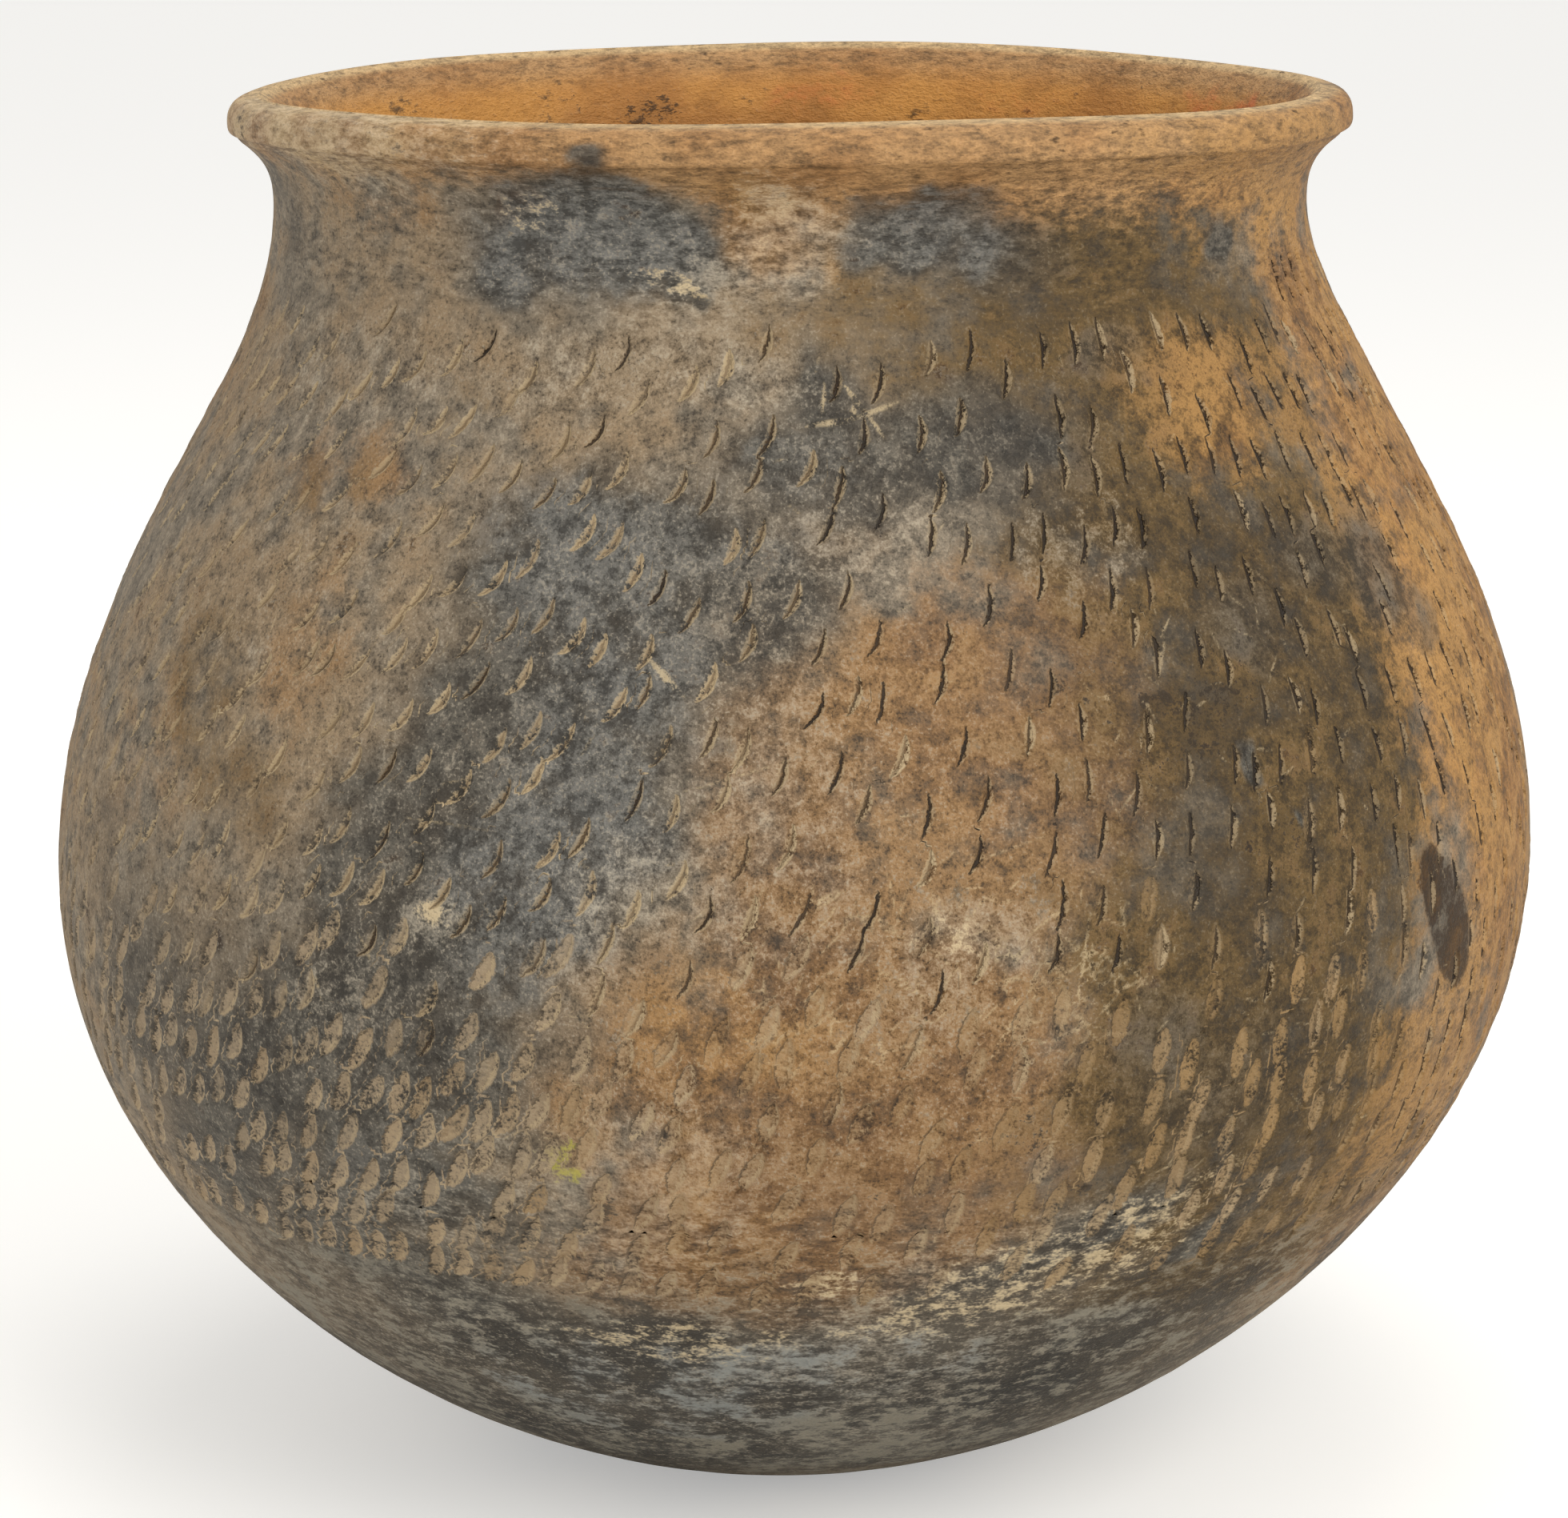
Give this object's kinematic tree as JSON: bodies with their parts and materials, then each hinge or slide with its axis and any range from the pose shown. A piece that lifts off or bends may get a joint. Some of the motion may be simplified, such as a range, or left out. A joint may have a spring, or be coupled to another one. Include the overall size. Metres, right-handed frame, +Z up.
{
  "type": "pottery jar",
  "caption": "Round hand-built earthenware cooking jar with a low flared rim and nail-marked sides, shown as the base bowl, wall coils, neck coil and rim coil it is built from.",
  "frame": {"origin": "middle of the flat spot under the jar, on the surface that the jar stands on", "axes": "+Z up out of the mouth; +X to the right and -Y towards the viewer in the picture"},
  "size_m": [0.3004, 0.2997, 0.2779],
  "materials": {
    "rim_clay": "low-fired earthenware, wiped smooth and worn, light tan with orange patches",
    "wall_clay": "low-fired earthenware, rough and ashy tan-brown with dark fire clouds",
    "base_clay": "low-fired earthenware, wiped smooth and sooted grey-brown"
  },
  "bodies": {
    "root": {"base_bowl": "base_clay", "wall_coil_01": "wall_clay", "wall_coil_02": "wall_clay", "wall_coil_03": "wall_clay", "wall_coil_04": "wall_clay", "wall_coil_05": "wall_clay", "wall_coil_06": "wall_clay", "wall_coil_07": "wall_clay", "wall_coil_08": "wall_clay", "wall_coil_09": "wall_clay", "neck_coil": "wall_clay", "rim_coil": "rim_clay"}
  },
  "joints": []
}
